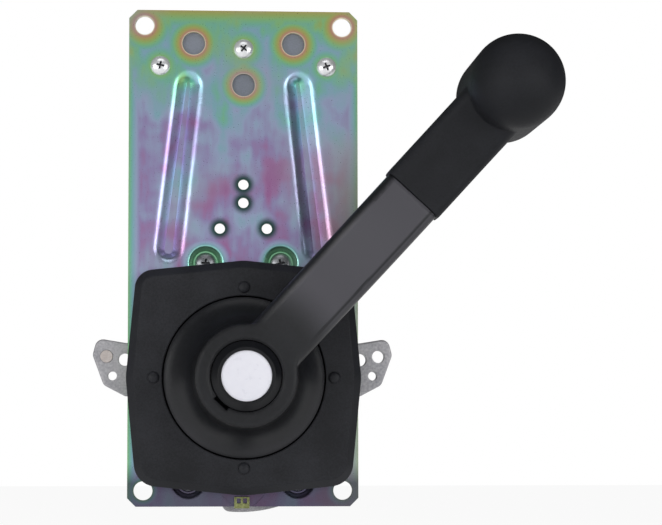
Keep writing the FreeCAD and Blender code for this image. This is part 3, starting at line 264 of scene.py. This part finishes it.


# Anchor screws: three M5 pan heads with a cross recess, cold formed, zinc plated and polished in the plating
# barrel. They shine white, round a cross whose walls are painted dark as shade.
def headed_pin(head, rise, shank, length, finishes):
    """A domed screw or pin along Y with its head's underside at the origin; a second finish is that
    of its cross recess, which narrows towards its floor."""
    cross_reach, cross_depth, cross_width = head * 1.2, rise * 1.5, head * 0.22
    floor_reach, floor_width = 0.4, 0.6
    bpy.ops.mesh.primitive_uv_sphere_add(segments=48, ring_count=32, radius=head,
                                         rotation=(math.pi / 2, 0, 0))
    pin = bpy.context.object
    pin.scale = (1, 1, rise / head)
    bpy.ops.object.transform_apply(location=True, rotation=True, scale=True)
    pin.data.materials.append(finishes[0])
    bpy.ops.object.mode_set(mode="EDIT")
    bpy.ops.mesh.select_all(action="SELECT")
    bpy.ops.mesh.bisect(plane_co=(0, 0, 0), plane_no=(0, 1, 0), clear_outer=True, use_fill=True)
    bpy.ops.object.mode_set(mode="OBJECT")
    blades = []
    for quarter in (0, 90) if len(finishes) > 1 else ():
        bpy.ops.mesh.primitive_cube_add(size=1, location=(0, -rise, 0))
        blade = bpy.context.object
        blade.scale = (cross_reach, cross_depth, cross_width)
        bpy.ops.object.transform_apply(location=True, rotation=True, scale=True)
        for corner in blade.data.vertices:
            if corner.co.y > -rise:
                corner.co.x *= floor_reach
                corner.co.z *= floor_width
        blade.rotation_euler = (0, math.radians(quarter), 0)
        bpy.ops.object.transform_apply(location=True, rotation=True, scale=True)
        blade.data.materials.append(finishes[1])
        blades.append(blade)
        cutter = pin.modifiers.new("cross", "BOOLEAN")
        cutter.operation = "DIFFERENCE"
        cutter.solver = "EXACT"
        cutter.material_mode = "TRANSFER"
        cutter.object = blade
    bpy.ops.object.select_all(action="DESELECT")
    bpy.context.view_layer.objects.active = pin
    for cutter in list(pin.modifiers):
        bpy.ops.object.modifier_apply(modifier=cutter.name)
    for blade in blades:
        bpy.data.objects.remove(blade)
    bpy.ops.mesh.primitive_cylinder_add(vertices=24, radius=shank, depth=length,
                                        location=(0, length / 2, 0), rotation=(math.pi / 2, 0, 0))
    shaft = bpy.context.object
    shaft.data.materials.append(finishes[0])
    bpy.ops.object.transform_apply(location=True, rotation=True, scale=True)
    pin.select_set(True)
    bpy.context.view_layer.objects.active = pin
    bpy.ops.object.join()
    bpy.ops.object.shade_smooth_by_angle(angle=math.radians(40))
    bpy.ops.object.select_all(action="DESELECT")
    return pin


def set_of(name, node, slot, back, places, **form):
    """Copies of one pin at each (across, up, turn), joined to the piece that stands for a node."""
    pins = [headed_pin(**form)]
    for _ in places[1:]:
        twin = pins[0].copy()
        twin.data = pins[0].data.copy()
        bpy.context.collection.objects.link(twin)
        pins.append(twin)
    for pin, (across, up, turn) in zip(pins, places):
        pin.location = (across, back, up)
        pin.rotation_euler = (0, math.radians(turn), 0)
        pin.select_set(True)
    bpy.context.view_layer.objects.active = pins[0]
    bpy.ops.object.transform_apply(location=True, rotation=True, scale=True)
    bpy.ops.object.join()
    piece = bpy.context.object
    piece.name = name
    bpy.ops.object.select_all(action="DESELECT")
    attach(piece, "frame")
    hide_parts(node)


thread_radius = 0.0025
zinc = skin_of("bright_zinc_plate", "#ecedef", "#dcdde0", grain=0.002, relief=0.000001, rough=0.24,
               Metallic=0.6)
# Painted shade: the walls of the cross recesses are painted dark, where shade falls in them.
recess_shade = skin_of("painted_recess_shade", "#5a5b5f", "#3c3d41", grain=0.0007, relief=0.000002, rough=0.45,
              Metallic=0.4)
set_of("anchor_screw_set", "anchor_screws", "zinc_steel", 0,
       [(-anchor_side, anchor_up, 12), (anchor_side, anchor_up, 68), (0, anchor_top, 38)],
       finishes=(zinc, recess_shade), head=head_radius, rise=0.0024, shank=thread_radius, length=0.017)
wear(["cable_grub_screws"], zinc)

# Housing: a bridge of die-cast zinc alloy behind the plate, left as cast, so it is dull grey with a mottled
# skin that is brighter at its edges, partly from wear and partly as a painted highlight. The grain is drawn
# 1.1 mm wide, coarser than the real one, so that it shows. Four turned spacers hold the housing off the
# plate.
cast = skin_of("die_cast_zinc_alloy", "#bab9bc", "#8c8c92", grain=0.0011, relief=0.00002, rough=0.46,
               edge=0.0007, edge_wear_and_highlight=0.5, edge_wear_and_highlight_tone="#e0e0e3", Metallic=0.55)
wear(["housing"], cast)
dull_zinc = skin_of("dull_zinc_plate", "#9b9da1", "#7c7f83", grain=0.0007, relief=0.000003, rough=0.36,
                    Metallic=1.0)
wear(["housing_spacers"], dull_zinc)

# Housing screws: four M5 pan heads sunk in the plate's dishes, zinc plated and dull from handling.
# They go through the plate and the spacers into the housing.
dish_floor, foot_dish_side, foot_dish_up = 0.003, 0.026, -0.049
set_of("housing_screw_set", "housing_screws", "zinc_steel", dish_floor,
       [(-dish_side, dish_up, 5), (dish_side, dish_up, 74),
        (-foot_dish_side, foot_dish_up, 20), (foot_dish_side, foot_dish_up, 50)],
       finishes=(dull_zinc, recess_shade), head=0.0052, rise=0.0022, shank=thread_radius, length=0.024)

# Bushes, brake pad and spring cap: natural acetal, turned from bar and pushed into their seats. It
# looks ivory and slightly glossy.
acetal = skin_of("natural_acetal", "#e4e1d6", "#d6d2c4", grain=0.001, relief=0.000003, rough=0.35,
                 IOR=1.48)
wear(["front_bush", "rear_bush", "brake_pad", "spring_cap"], acetal)

# Detent ball and spring, cross pin and pin clips: hardened steel under a film of oil, darker than
# the zinc plated plug and brake screw beside them.
oiled = skin_of("oiled_spring_steel", "#8a8c90", "#6c6e72", grain=0.0009, relief=0.000002, rough=0.24,
                edge=0.0002, Metallic=1.0)
wear(["detent_ball", "detent_spring", "drive_pin", "shift_pin_clip", "throttle_pin_clip"], oiled)
wear(["detent_plug", "brake_screw"], zinc)

# Button spring: a coil wound from the same oiled wire, between the stem's collar and its cap. It is
# pressed together as the button is pulled out, so it stands here as a piece of its own.
button_travel, merge_within = 0.006, 0.000001
spring = bpy.data.objects.new("button_spring_coil", nodes["button_spring"].data.copy())
bpy.context.collection.objects.link(spring)
spring.data.materials.clear()
spring.data.materials.append(oiled)
spring.select_set(True)
bpy.context.view_layer.objects.active = spring
bpy.ops.object.mode_set(mode="EDIT")
bpy.ops.mesh.select_all(action="SELECT")
bpy.ops.mesh.remove_doubles(threshold=merge_within)
bpy.ops.object.mode_set(mode="OBJECT")
bpy.ops.object.select_all(action="DESELECT")
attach(spring, "lever")
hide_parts("button_spring")
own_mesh(spring)

# Shift arm: die-cast in the housing's alloy, with a lug each side for the cable. The cable pins are
# turned from steel with a faint warm passivation, so they look lighter than the casting round them.
pin_zinc = skin_of("warm_zinc_plate", "#d8d0cc", "#c4bab5", grain=0.0009, relief=0.000003, rough=0.34,
                   edge=0.0003, Metallic=0.9)
wear(["shift_arm"], cast)
wear(["shift_cable_pin", "throttle_cable_pin"], pin_zinc)

# Main shaft with its washer and nuts, and the throttle crank clamped between them: turned steel,
# zinc plated and bright, and one more casting of the same alloy.
wear(["main_shaft", "shaft_washer", "shaft_nut", "lever_nut"], zinc)
wear(["throttle_crank"], cast)

# Cover: ABS injection moulding, charcoal black, with a spark-eroded grain that breaks up the light.
# Four domed pins of the same plastic hold it. The grain is drawn 0.7 mm wide, coarser than the real
# one, so that it shows.
pin_from_shaft, pin_seat = 0.0426, -0.013
abs_black = skin_of("grained_black_abs", "#27282d", "#191a1e", grain=0.0007, relief=0.00003, rough=0.5,
                    edge=0.001, IOR=1.54, **{"Specular IOR Level": 0.2})
wear(["cover"], abs_black)
set_of("cover_pin_set", "cover_rivets", "black_plastic", pin_seat,
       [(-pin_from_shaft, 0, 0), (pin_from_shaft, 0, 0), (0, -pin_from_shaft, 0), (0, pin_from_shaft, 0)],
       finishes=(abs_black,), head=0.00285, rise=0.0014, shank=0.002, length=0.0127)

# Cover clip: spring steel strip with two windows, hooked over the plate's edge and passivated yellow. It
# looks olive, with pale edges, partly from wear and partly as a painted highlight.
clip_finish = skin_of("yellow_passivated_clip", "#9fa56f", "#767a4e", grain=0.0012, relief=0.00001,
                      rough=0.35, edge=0.0003, edge_wear_and_highlight=0.5, edge_wear_and_highlight_tone="#dfe6ae", Metallic=0.75)
wear(["cover_clip"], clip_finish)

# Lever: die-cast aluminium under a satin black powder coat, with rounded edges and a faint orange peel that
# breaks the light into soft patches. The arm is painted paler than the hub, a painted sheen where it catches
# the light.
lever_lean = math.radians(42.5)
hub_reach, arm_start, sheen_share = 0.03, 0.052, 0.85
coat = skin_of("satin_powder_coat", "#1c1d21", "#17181b", grain=0.0016, relief=0.000012, rough=0.33,
               edge=0.003, IOR=1.52, **{"Specular IOR Level": 0.32})
by_kind = {node.type: node for node in coat.node_tree.nodes}
coat_skin, on_lever = by_kind["BSDF_PRINCIPLED"], by_kind["TEX_COORD"]
from_axis = add(coat, "VectorMath", {0: (on_lever, "Object"), 1: (1, 0, 1)}, operation="MULTIPLY")
from_axis = add(coat, "VectorMath", {0: (from_axis, "Vector")}, operation="LENGTH")
painted_sheen = add(coat, "MapRange", {"Value": (from_axis, "Value"), "From Min": hub_reach, "From Max": arm_start,
                                 "To Max": sheen_share}, interpolation_type="SMOOTHSTEP")

# Painted reflections across the arm: its front is painted palest, its left bevel stays dark, and on its
# right a dark line lies between the front and a paler side. On this ramp 0 faces right and down across the
# arm, a half faces the front, and 1 faces left and up.
across_arm = (-math.cos(lever_lean), 0, math.sin(lever_lean))
sheen_by_facing = add(coat, "NewGeometry")
sheen_by_facing = add(coat, "VectorMath", {0: (sheen_by_facing, "Normal"), 1: across_arm}, operation="DOT_PRODUCT")
sheen_by_facing = add(coat, "MapRange", {"Value": (sheen_by_facing, "Value"), "From Min": -1})
sheen_by_facing = add(coat, "ValToRGB", {"Fac": (sheen_by_facing, "Result")}, stops=[
    (0.0, "#a0a0a0"), (0.72, "#000000"), (0.28, "#e6e6e6"), (0.36, "#5a5a5a"), (0.42, "#5a5a5a"),
    (0.48, "#ffffff"), (0.51, "#ffffff")])
painted_sheen = add(coat, "Math", {0: (painted_sheen, "Result"), 1: (sheen_by_facing, "Color")}, operation="MULTIPLY")
coat_tone = coat_skin.inputs["Base Color"].links[0].from_node
lightened = add(coat, "Mix", {0: (painted_sheen, 0), 6: (coat_tone, 2), 7: "#4d4c52"}, data_type="RGBA")
coat.node_tree.links.new(lightened.outputs[2], coat_skin.inputs["Base Color"])
wear(["lever"], coat)


# Grip: one rubber moulding pushed over the lever's tang, a flat sleeve that swells into a bar with
# two round ends. The rubber is matte and a little dusty, and has no sharp edge.
def cut_away(piece, tool):
    """Takes a tool's form out of a piece."""
    cutter = piece.modifiers.new("cut", "BOOLEAN")
    cutter.operation = "DIFFERENCE"
    cutter.solver = "EXACT"
    cutter.object = tool
    bpy.context.view_layer.objects.active = piece
    bpy.ops.object.modifier_apply(modifier=cutter.name)
    bpy.data.objects.remove(tool)


def block(low, high):
    """A box between two corners, left selected and active."""
    bpy.ops.object.select_all(action="DESELECT")
    middle = [(a + b) / 2 for a, b in zip(low, high)]
    bpy.ops.mesh.primitive_cube_add(size=1, location=middle)
    made = bpy.context.object
    made.scale = [b - a for a, b in zip(low, high)]
    bpy.ops.object.transform_apply(location=True, rotation=True, scale=True)
    return made


# The grip is made straight above the shaft and leans at the end. The bar: a ball that is pulled apart
# along Y, into a cylinder with two round ends.
grip_radius, grip_high, ball_front, ball_back, slack = 0.021, 0.175, -0.08, -0.039, 0.0001
bpy.ops.mesh.primitive_uv_sphere_add(segments=96, ring_count=48, radius=grip_radius,
                                     location=(0, ball_front, grip_high), rotation=(math.pi / 2, 0, 0))
grip = bpy.context.object
grip.name = "grip_moulding"
bpy.ops.object.transform_apply(location=True, rotation=True, scale=True)
bpy.ops.object.mode_set(mode="EDIT")
bpy.ops.mesh.select_all(action="DESELECT")
bpy.ops.object.mode_set(mode="OBJECT")
for corner in grip.data.vertices:
    corner.select = corner.co.y > ball_front + slack
bpy.ops.object.mode_set(mode="EDIT")
bpy.ops.transform.translate(value=(0, ball_back - ball_front, 0))
bpy.ops.object.mode_set(mode="OBJECT")

# The sleeve: a block with its four long edges rounded, whose front swells towards the bar.
sleeve_front, sleeve_back, sleeve_low, half_sleeve = -0.0674, -0.0488, 0.109, 0.0153
edge_round, swell_low, swell_reach, sleeve_middle = 0.0045, 0.132, 0.018, -0.058
sleeve = block((-half_sleeve, sleeve_front, sleeve_low), (half_sleeve, sleeve_back, grip_high))
bpy.ops.object.mode_set(mode="EDIT")
bpy.ops.mesh.select_mode(type="EDGE")
bpy.ops.mesh.select_all(action="DESELECT")
bpy.ops.object.mode_set(mode="OBJECT")
for edge in sleeve.data.edges:
    ends = [sleeve.data.vertices[v].co for v in edge.vertices]
    edge.select = abs(ends[0].z - ends[1].z) > edge_round
bpy.ops.object.mode_set(mode="EDIT")
bpy.ops.mesh.bevel(offset=edge_round, segments=8, profile=0.5, affect="EDGES")
bpy.ops.mesh.select_mode(type="VERT")
bpy.ops.mesh.select_all(action="SELECT")
bpy.ops.mesh.subdivide(number_cuts=11)
bpy.ops.object.mode_set(mode="OBJECT")
for corner in sleeve.data.vertices:
    climb = max(0.0, (corner.co.z - swell_low) / (grip_high - swell_low))
    share = max(0.0, (sleeve_middle - corner.co.y) / (sleeve_middle - sleeve_front))
    corner.co.y -= swell_reach * climb ** 2 * share

# Both are fused and softened into one moulding, the tang's slot is cut, and it leans as the lever.
sleeve.select_set(True)
grip.select_set(True)
bpy.context.view_layer.objects.active = grip
bpy.ops.object.join()
fuse = grip.modifiers.new("one moulding", "REMESH")
fuse.mode = "VOXEL"
fuse.voxel_size = 0.0006
soften = grip.modifiers.new("soft edges", "SMOOTH")
soften.factor = 0.5
soften.iterations = 5
for step in (fuse.name, soften.name):
    bpy.ops.object.modifier_apply(modifier=step)
half_slot, slot_front, slot_back, slot_low, slot_high = 0.01105, -0.06415, -0.05205, 0.1, 0.1523
cut_away(grip, block((-half_slot, slot_front, slot_low), (half_slot, slot_back, slot_high)))
bpy.ops.object.select_all(action="DESELECT")
grip.select_set(True)
bpy.context.view_layer.objects.active = grip
bpy.ops.object.shade_smooth_by_angle(angle=math.radians(50))
grip.rotation_euler = (0, lever_lean, 0)
bpy.ops.object.transform_apply(location=True, rotation=True, scale=True)
rubber = skin_of("moulded_black_rubber", "#232428", "#1a1b1e", grain=0.0009, relief=0.00001, rough=0.6,
                 edge=0.0001, IOR=1.52, **{"Specular IOR Level": 0.16})
grip.data.materials.clear()
grip.data.materials.append(rubber)
bpy.ops.object.select_all(action="DESELECT")
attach(grip, "lever")
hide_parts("grip")

# Pull button: a smooth black ABS cap in the hub, with a plain disc of white acrylic pressed in. The
# cap is glossier than the cover, and the disc is bright and even.
button_black = skin_of("smooth_black_abs", "#17181c", "#121316", grain=0.0012, relief=0.000003, rough=0.36,
                       IOR=1.54, **{"Specular IOR Level": 0.22})
wear(["hub_button"], button_black)
disc_white = skin_of("white_acrylic", "#e9e9f1", "#e5e5ee", grain=0.003, relief=0.000001, rough=0.3,
                     edge=0.0002, IOR=1.49)
wear(["button_disc"], disc_white)

# Floor: white paper 100 mm under the part, which is held by its panel, so that the lever clears the
# paper when it is turned right down. It shows white and keeps a light shadow.
floor_size, floor_below, glow_share = 6, 0.1, 0.93
bpy.ops.mesh.primitive_plane_add(size=floor_size, location=(0, 0, cad_low.z - floor_below))
floor = bpy.context.object
floor.name = "floor"
paper, on_floor = new_finish("table_paper")
floor_rays = add(paper, "LightPath")
seen = add(paper, "Math", {0: (floor_rays, "Is Camera Ray"), 1: (floor_rays, "Is Glossy Ray")},
           operation="MAXIMUM")
seen = add(paper, "Math", {0: (seen, 0), 1: (floor_rays, "Is Transmission Ray")}, operation="MAXIMUM")
seen = add(paper, "Math", {0: (seen, 0), 1: glow_share}, operation="MULTIPLY")
matte = add(paper, "BsdfDiffuse", {"Color": "#f2f2f2"})

# Painted shadow: reflections find a darker pool painted under the part, so that its lower faces stay black.
shadow_pool_squeeze, shadow_pool_from, shadow_pool_to, shadow_pool_dark = (3, 1, 0), 0.02, 0.12, -0.85
spread = add(paper, "VectorMath", {0: (on_floor, "Object"), 1: shadow_pool_squeeze}, operation="MULTIPLY")
spread = add(paper, "VectorMath", {0: (spread, "Vector")}, operation="LENGTH")
painted_shadow_pool = add(paper, "MapRange", {"Value": (spread, "Value"), "From Min": shadow_pool_from, "From Max": shadow_pool_to,
                               "To Min": shadow_pool_dark, "To Max": 0})
painted_shadow_pool = add(paper, "Math", {0: (painted_shadow_pool, "Result"), 1: (floor_rays, "Is Glossy Ray"), 2: 1.0},
           operation="MULTIPLY_ADD")
white = add(paper, "Emission", {"Color": "#ffffff", "Strength": (painted_shadow_pool, 0)})
both = add(paper, "MixShader", {0: (seen, 0), 1: (matte, 0), 2: (white, 0)})
add(paper, "OutputMaterial", {"Surface": (both, 0)})
floor.data.materials.append(paper)

# Room: white paper behind the part to the eye. The part itself stands in a dim room that is lightest
# in front, with a darker ceiling, rear wall and right end, and with more fill than it mirrors.
front_light, rear_light, ceiling_share, right_share, fill_light = 0.46, 0.16, 0.25, 0.12, 2.9
to_rear, to_ceiling, to_right = (-1, 0.3), (0.1, 0.8), (0.6, 0.85)
world = bpy.data.worlds.new("studio")
bpy.context.scene.world = world
world.use_nodes = True
world.node_tree.nodes.clear()
room_rays = add(world, "LightPath")
way = add(world, "TexCoord")
way = add(world, "SeparateXYZ", {"Vector": (way, "Generated")})
front = add(world, "MapRange", {"Value": (way, "Y"), "From Min": to_rear[0], "From Max": to_rear[1],
                                "To Min": front_light, "To Max": rear_light})
ceiling = add(world, "MapRange", {"Value": (way, "Z"), "From Min": to_ceiling[0],
                                  "From Max": to_ceiling[1], "To Min": 1, "To Max": ceiling_share})
right = add(world, "MapRange", {"Value": (way, "X"), "From Min": to_right[0], "From Max": to_right[1],
                                "To Min": 1, "To Max": right_share})
fill = add(world, "MapRange", {"Value": (room_rays, "Is Glossy Ray"), "To Min": fill_light, "To Max": 1})
glow = front
for part in (ceiling, right, fill):
    glow = add(world, "Math", {0: (glow, 0), 1: (part, "Result")}, operation="MULTIPLY")
room = add(world, "Background", {"Color": "#ffffff", "Strength": (glow, 0)})
backdrop = add(world, "Background", {"Color": "#ffffff", "Strength": 1.0})
pick = add(world, "MixShader", {0: (room_rays, "Is Camera Ray"), 1: (room, 0), 2: (backdrop, 0)})
add(world, "OutputWorld", {"Surface": (pick, 0)})

# Lamps: a wide softbox on each side in front of the part, and a weaker one above, all turned to a
# point just over the shaft. Each has its place, its width and height, and its power in watts.
lamp_aim = Vector((0, 0, 0.05))
for name, spot, size, power in (("left_box", (-0.7, -0.9, 0.15), (0.6, 0.42), 2.9),
                                ("right_box", (0.7, -0.9, 0.15), (0.6, 0.42), 2.9),
                                ("top_box", (0, -0.75, 0.95), (0.7, 0.3), 1.2)):
    bpy.ops.object.light_add(type="AREA", location=spot)
    lamp = bpy.context.object
    lamp.name = name
    lamp.data.shape = "RECTANGLE"
    lamp.data.size, lamp.data.size_y = size
    lamp.data.energy = power
    lamp.rotation_euler = (lamp_aim - Vector(spot)).to_track_quat("-Z", "Y").to_euler()

# Camera: the photograph's place, 87 cm in front of the plate, low and a little to the left. The lens
# is a long one that is shifted up and to the right.
camera_spot, camera_turn = (-0.02788, -0.86849, -0.01809), (93.2, 0, -3)
bpy.ops.object.camera_add(location=camera_spot, rotation=[math.radians(turn) for turn in camera_turn])
camera = bpy.context.object
camera.data.sensor_width = 36
camera.data.lens = 99.01
camera.data.shift_x = 0.0768
camera.data.shift_y = 0.0782
camera.data.clip_start = 0.05
camera.data.clip_end = 20
bpy.context.scene.camera = camera
bpy.context.scene.view_settings.view_transform = "Standard"
